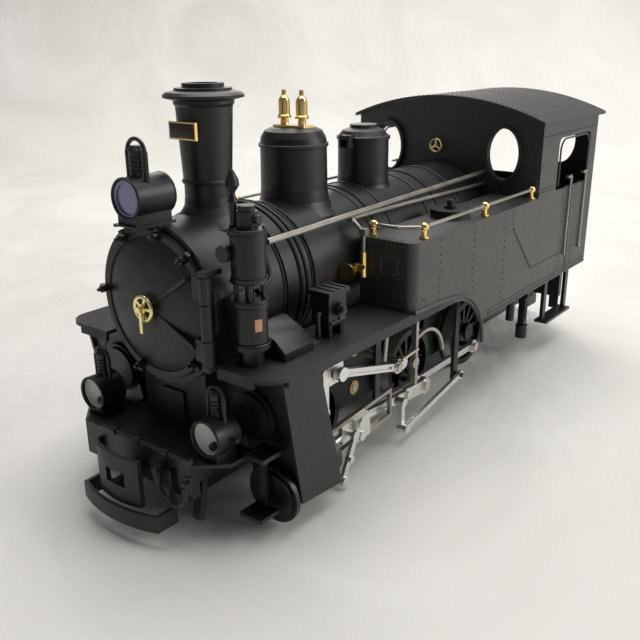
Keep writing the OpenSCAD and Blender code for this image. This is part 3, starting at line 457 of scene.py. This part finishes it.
def roof_rivets():
    out = []
    for x in (-112.0, -156.4, -72.0):
        for k in range(37):
            a = math.radians(-20.4 + 40.8 * k / 36)
            out.append(((x, 155.35 * math.sin(a), -3.85 + 155.35 * math.cos(a)),
                (0, math.sin(a), math.cos(a)), AHEAD))
    return out


def cab_front_rivets():
    out = line((-71.8, 56.4, 103.0), (-71.8, 56.4, 128.0), 10, AHEAD, UP)
    return other_side(out)


def cab_rear_rivets():
    back = (-1, 0, 0)
    out = line((-152.8, 56.2, 50.0), (-152.8, 56.2, 128.0), 26, back, UP)
    out += line((-152.8, 27.0, 98.0), (-152.8, 27.0, 132.0), 12, back, UP)
    return other_side(out) + line((-152.8, -25.0, 96.0), (-152.8, 25.0, 96.0), 16, back, UP)


copies("tank_side_rivets", ENGINE, rivet, other_side(tank_rivets()), sheet, 0.62)
copies("cab_side_rivets", ENGINE, rivet, other_side(cab_rivets()), sheet, 0.55)
copies("tank_front_rivets", ENGINE, rivet, other_side(tank_front_rivets()), sheet, 0.5)
copies("cab_wall_rivets", ENGINE, rivet, cab_front_rivets() + cab_rear_rivets(), sheet, 0.55)
copies("roof_rivets", "cab_roof", rivet, roof_rivets(), sheet, 0.55)


def tread_ribs():
    """Short slanting ribs over the running boards, kept off the rounded front corner."""
    out = []
    for i in range(62):
        for j in range(17):
            x, y = 55.8 + 1.5 * i, 32.8 + 1.55 * j + (0.75 if i % 2 else 0.0)
            if x > 146.2 or y > 57.8 or (x > 138 and y > 49.5 and math.hypot(x - 138, y - 49.5) > 8.3):
                continue
            out.append(((x, y, 68.4), UP, (0.72, 0.69, 0)))
    return out


copies("tread_plate_ribs", ENGINE, tread_bar, other_side(tread_ribs()), grid, 1.0)


def seams(bm):
    """Raised seams on the tank and cab sides and the square cover in front of the tank."""
    corners = [(-42.6, 88.0), (-68.4, 61.4), (-112.0, 61.4)]
    for (x0, z0), (x1, z1) in zip(corners, corners[1:]):
        tube(bm, [(x0, 58.55, z0), (x1, 58.55, z1)], 0.42, sides=8)
    for z in (48.2, 50.4):
        tube(bm, [(-152.6, 58.5, z), (-18.5, 58.5, z)], 0.5, sides=8)
    tube(bm, [(-71.8, 58.5, 101.6), (-93.6, 58.5, 101.6)], 0.5, sides=8)
    tube(bm, [(-119.6, 58.5, 47.6), (-119.6, 58.5, 104.8)], 0.4, sides=8)
    for a, b in (((41.6, 84.2), (49.6, 84.2)), ((49.6, 84.2), (49.6, 91.4)), ((49.6, 91.4), (41.6, 91.4)),
        ((41.6, 91.4), (41.6, 84.2))):
        tube(bm, [(55, a[0], a[1]), (55, b[0], b[1])], 0.4, sides=8)


shape("sheet_seams", ENGINE, sheet, seams, both_sides=True)


def arch_lip(bm):
    """The rounded lip that runs along the tank bottom and down round the wheel arch."""
    path = [(54.0, 58.4, 68.8), (30.0, 58.4, 68.0), (19.5, 58.4, 67.0)]
    for k in range(13):
        a = math.radians(88 - 88 * k / 12)
        path.append((18 - 31.6 * math.cos(a), 58.4, 35.0 + 31.6 * math.sin(a)))
    tube(bm, path, 1.05, sides=10)


shape("arch_lips", ENGINE, sheet, arch_lip, both_sides=True)


def window_frame(bm):
    """A thin frame round the side window opening."""
    path = [(-97.4, 58.6, 102.6), (-97.4, 58.6, 124.4), (-101.6, 58.6, 128.2), (-136.4, 58.6, 128.2),
        (-140.6, 58.6, 124.4), (-140.6, 58.6, 102.6)]
    tube(bm, path, 0.55, sides=8, bend=3.0)


shape("side_window_frames", ENGINE, sheet, window_frame, both_sides=True)

# ---------------------------------------------------------------- boiler, smokebox and chimney


def boiler_bands(bm):
    for x, r in ((88.0, 29.75), (86.2, 29.9), (41.0, 29.65), (24.6, 29.65), (-9.0, 29.65), (-40.0, 29.65)):
        ring(bm, (x, 0, 86), AHEAD, r, 0.42, steps=96, sides=8)


shape("boiler_bands", ENGINE, black, boiler_bands)


def smokebox_rings(bm):
    for x, r, t in ((93.0, 31.1, 0.9), (96.6, 31.2, 0.9), (107.0, 31.1, 0.5), (143.2, 30.9, 0.8)):
        ring(bm, (x, 0, 86), AHEAD, r, t, steps=96, sides=10)


shape("smokebox_rings", ENGINE, soot, smokebox_rings)


def door_rim(bm):
    """The bevelled edge of the smokebox door."""
    turned(bm,
        [(29.35, 145.25), (29.35, 146.5), (29.0, 146.9), (26.6, 146.95), (26.3, 146.6), (26.3, 146.2), (27.9,
        145.25), (29.35, 145.25)], (0, 0, 86), AHEAD, steps=96)


shape("door_rim", "smokebox_door", soot, door_rim)


def plate_face(bm):
    block(bm, (127.1, -6.5, 146.0), (127.42, 6.5, 151.4), edge=0.05)


shape("number_plate_field", ENGINE, plate_field, plate_face)


def chimney_fittings(bm):
    """Small brackets under the brim and the bead round the barrel."""
    ring(bm, (115.3, 0, 129.0), UP, 9.75, 0.45, steps=64, sides=8)
    for y in (-9.6, 9.6):
        block(bm, (114.4, y - 1.0, 155.2), (116.4, y + 1.0, 158.4), edge=0.4)
        block(bm, (114.7, y - 0.7, 147.4), (115.9, y + 0.9, 150.6), edge=0.3)


shape("chimney_fittings", ENGINE, soot, chimney_fittings)

# ---------------------------------------------------------------- lamps


def lamp_rims(bm):
    for y, z, r, x, back in ((0, 127.7, 7.15, 155.9, 139.2), (33, 43.2, 6.95, 155.9, 145.0),
        (-33, 43.2, 6.95, 155.9, 145.0)):
        ring(bm, (x, y, z), AHEAD, r, 0.55, steps=64, sides=10)
        ring(bm, (back, y, z), AHEAD, r + 0.1, 0.5, steps=64, sides=8)
        for k in range(4):
            ring(bm, (149.4, y, z + r + 2.4 + 1.4 * k), UP, 2.6 if z > 100 else 2.0, 0.38, steps=24, sides=6)


shape("lamp_rims", ENGINE, black, lamp_rims)


def lens_ring(bm):
    ring(bm, (155.3, 0, 127.7), AHEAD, 6.2, 0.5, steps=64, sides=10)


shape("violet_lens_ring", ENGINE, lens_glass, lens_ring)


def reflectors(bm):
    for y in (-33, 33):
        turned(bm, [(6.35, 154.9), (5.6, 153.3), (4.2, 152.5), (2.0, 152.1), (0, 152.0)], (0, y, 43.2), AHEAD,
            steps=48)


shape("lamp_reflectors", ENGINE, mirror_white, reflectors)


def lamp_bulbs(bm):
    for y in (-33, 33):
        turned(bm, [(0, 154.4), (1.3, 154.2), (1.7, 153.4), (1.7, 152.1)], (0, y + 1.2, 39.6), AHEAD,
            steps=20)
        tube(bm, [(149.4, y + math.copysign(7.2, y), 43.2), (149.4, y + math.copysign(10.2, y), 43.2)], 0.9,
            sides=12)


shape("lamp_bulbs_and_pegs", ENGINE, black, lamp_bulbs)

# ---------------------------------------------------------------- air pump, lubricator and boxes


def pump_pipe(bm):
    """The bent steam pipe behind the pump and its unions."""
    tube(bm,
        [(131.0, 36.6, 108.0), (124.2, 34.4, 108.4), (121.4, 34.8, 103.0), (121.0, 36.0, 96.4), (127.0, 37.4,
        94.6), (131.0, 38.4, 94.6)], 1.15, sides=12, bend=3.0)
    for z, r in ((77.0, 7.0), (91.2, 6.9), (93.2, 6.9), (100.2, 6.9), (117.2, 6.9), (118.8, 6.9)):
        ring(bm, (136, 39.4, z), UP, r - 0.25, 0.42, steps=48, sides=8)
    for a in range(0, 360, 60):
        t = math.radians(a)
        tube(bm,
            [(136 + 5.9 * math.cos(t), 39.4 + 5.9 * math.sin(t), 118.8), (136 + 5.9 * math.cos(t),
            39.4 + 5.9 * math.sin(t), 120.0)], 0.6, sides=6)


shape("pump_steam_pipe", ENGINE, black, pump_pipe)


def pump_label(bm):
    a0 = math.radians(56)
    for k in range(6):
        a, b = a0 + 0.075 * k, a0 + 0.075 * (k + 1)
        ring_points = [(136 + 6.42 * math.cos(t), 39.4 + 6.42 * math.sin(t)) for t in (a, b)]
        low = [bm.verts.new(Vector((x, y, 82.6)) * MM) for x, y in ring_points]
        high = [bm.verts.new(Vector((x, y, 87.2)) * MM) for x, y in ring_points]
        bm.faces.new((low[0], low[1], high[1], high[0]))


shape("pump_label", ENGINE, copper, pump_label)


def lubricator_bits(bm):
    """Lid ribs, ratchet wheel and the bent feed pipe of the lubricator."""
    for x in (89.4, 93.0, 96.6):
        block(bm, (x, 38.3, 87.6), (x + 1.1, 48.3, 88.3), edge=0.3)
    tube(bm, [(100.2, 44.0, 79.0), (103.6, 44.6, 79.4), (104.4, 45.4, 73.6), (104.4, 45.6, 68.6)], 0.9,
        sides=10, bend=3.0)
    tube(bm, [(94.6, 47.4, 80.0), (94.6, 49.8, 80.0)], 2.7, sides=24)
    tube(bm, [(90.2, 47.6, 74.8), (99.6, 47.6, 74.8)], 0.8, sides=10)


shape("lubricator_fittings", ENGINE, black, lubricator_bits)


def sloped_box(bm):
    """The long box with a sloping lid beside the smokebox."""
    slab(bm,
        [(34.0, 68.4), (49.0, 68.4), (49.0, 71.6), (43.4, 76.4), (38.6, 77.6), (35.6, 80.0), (34.0, 80.2)],
        "x", 111.6, 128.6, edge=0.5)


shape("sloped_boxes", ENGINE, black, sloped_box, both_sides=True)

# ---------------------------------------------------------------- running gear


def tyre(bm, x):
    """The bright tread of one wheel."""
    turned(bm, [(19.4, 21.9), (19.6, 21.9), (19.6, 27.3), (19.4, 27.3), (19.4, 21.9)], (x, 0, 20.6), LEFT,
        steps=96)


for piece_body, x in (("front_wheelset", 86), ("driving_wheelset", 5), ("rear_wheelset", -58)):
    shape(piece_body + "_tyres", piece_body, steel, lambda bm, x=x: tyre(bm, x), both_sides=True)


def pin_cap(bm, x, y, z, r, thick=0.22):
    """A pale cap on the end of a pin, on the side of the engine that y is on."""
    side = math.copysign(1, y)
    tube(bm, [(x, y, z), (x, y + side * thick, z)], r, sides=28)


def rod_caps(body, spots):
    def build(bm):
        for spot in spots:
            pin_cap(bm, *spot)
    shape(body + "_caps", body, cap, build)


THROW, RACK_THROW = 10.0, 9.0
for side, name, lead in ((1, "left", 0), (-1, "right", 90)):
    t = math.radians(-25 + lead)
    px, pz = THROW * math.cos(t), 20.6 + THROW * math.sin(t)
    rod_caps("coupling_rod_" + name, [(86 + px, side * 38.4, pz, 2.3), (-58 + px, side * 38.4, pz, 2.3)])
    rod_caps("main_rod_" + name, [(5 + px, side * 43.9, pz, 2.5)])
    t = math.radians(9 + lead)
    rod_caps("upper_rod_" + name,
        [(42 + RACK_THROW * math.cos(t), side * 50.4, 39 + RACK_THROW * math.sin(t), 2.0)])


def reach_rod(bm):
    """The long bent rod under the running board, its short lever and the pins on the bracket."""
    tube(bm, [(107.1, 53.2, 63.9), (76.6, 53.2, 63.5), (60.7, 53.2, 63.1), (44.0, 53.2, 63.0)], 0.8, sides=10,
        bend=2.0)
    tube(bm, [(67.4, 53.2, 63.2), (67.4, 53.2, 59.5), (68.6, 53.2, 50.3)], 0.9, sides=10, bend=1.5)
    tube(bm, [(55.9, 54.2, 46.7), (42.5, 54.2, 47.8)], 0.7, sides=10)
    tube(bm, [(44.2, 53.4, 41.6), (44.2, 54.6, 41.6)], 2.6, sides=28)


shape("reach_rods", ENGINE, pipe, reach_rod, both_sides=True)

# ---------------------------------------------------------------- stage and camera

CAMERA_AT = (0.3287, 0.2218, 0.1784)
CAMERA_YAW, CAMERA_PITCH, CAMERA_ROLL = -141.96, -19.48, 0.51
FOCAL = 778.1 / 640


def aimed(yaw, pitch, roll):
    """A camera's rotation from its heading, its tilt and its roll, in degrees."""
    yaw, pitch, roll = (math.radians(a) for a in (yaw, pitch, roll))
    ahead = Vector((math.cos(pitch) * math.cos(yaw), math.cos(pitch) * math.sin(yaw), math.sin(pitch)))
    right = ahead.cross(Vector((0, 0, 1))).normalized()
    down = ahead.cross(right)
    right2 = math.cos(roll) * right + math.sin(roll) * down
    down2 = -math.sin(roll) * right + math.cos(roll) * down
    return Matrix((right2, -down2, -ahead)).transposed().to_4x4()


view = bpy.data.cameras.new("view")
view.sensor_width = 36
view.sensor_fit = "HORIZONTAL"
view.lens = FOCAL * 36
view.clip_start = 0.01
camera = bpy.data.objects.new("view", view)
bpy.context.scene.collection.objects.link(camera)
camera.matrix_world = Matrix.Translation(CAMERA_AT) @ aimed(CAMERA_YAW, CAMERA_PITCH, CAMERA_ROLL)
bpy.context.scene.camera = camera


def lamp(name, at, target, size, power, colour=(1, 1, 1)):
    """A soft square light at a place, aimed at a point."""
    d = bpy.data.lights.new(name, "AREA")
    d.size = size
    d.energy = power
    d.color = colour
    o = bpy.data.objects.new(name, d)
    bpy.context.scene.collection.objects.link(o)
    o.location = at
    o.rotation_euler = (Vector(target) - Vector(at)).to_track_quat("-Z", "Y").to_euler()
    return o


lamp("overhead_softbox", (-0.35, -0.10, 1.45), (0, 0, 0.05), 1.5, 24, (1.0, 0.985, 0.96))
lamp("side_softbox", (-0.75, 1.35, 0.75), (-0.05, 0, 0.06), 1.1, 16, (1.0, 0.99, 0.97))
lamp("low_softbox", (-0.9, -0.9, 0.8), (0, 0, 0.05), 0.8, 5, (1.0, 0.98, 0.95))
world = bpy.data.worlds.new("room")
bpy.context.scene.world = world
world.use_nodes = True
world.node_tree.nodes["Background"].inputs["Color"].default_value = (0.9, 0.93, 1.0, 1)
world.node_tree.nodes["Background"].inputs["Strength"].default_value = 0.16
bpy.context.scene.view_settings.view_transform = "Standard"


def pale_floor():
    """A pale sheet along the floor that curves up behind the model."""
    m, p = shader("pale_sheet")
    soft = grain(m, 5.0, 4.0, 0.55)
    soft.inputs["Distortion"].default_value = 1.2
    wire(m, tint(m, soft, (0.66, 0.645, 0.615), (0.76, 0.745, 0.715)), "Color", p, "Base Color")
    p.inputs["Roughness"].default_value = 0.8
    pit(m, p, soft, 0.25, 0.02)
    me = bpy.data.meshes.new("pale_floor")
    reach, back, rise, steps = 2.4, 0.62, 0.42, 16
    away = Vector((math.cos(math.radians(CAMERA_YAW)), math.sin(math.radians(CAMERA_YAW)), 0))
    side = Vector((-away.y, away.x, 0))
    rows = [(-reach, 0.0), (back, 0.0)]
    rows += [(back + 0.4 * math.sin(k / steps * math.pi / 2),
        0.4 * (1 - math.cos(k / steps * math.pi / 2))) for k in range(1, steps + 1)]
    rows += [(back + 0.42, rise)]
    verts = [tuple(away * d + side * s + Vector((0, 0, z))) for d, z in rows for s in (-reach, reach)]
    faces = [(2 * i, 2 * i + 1, 2 * i + 3, 2 * i + 2) for i in range(len(rows) - 1)]
    me.from_pydata(verts, [], faces)
    me.materials.append(m)
    me.shade_smooth()
    o = bpy.data.objects.new("pale_floor", me)
    bpy.context.scene.collection.objects.link(o)


pale_floor()
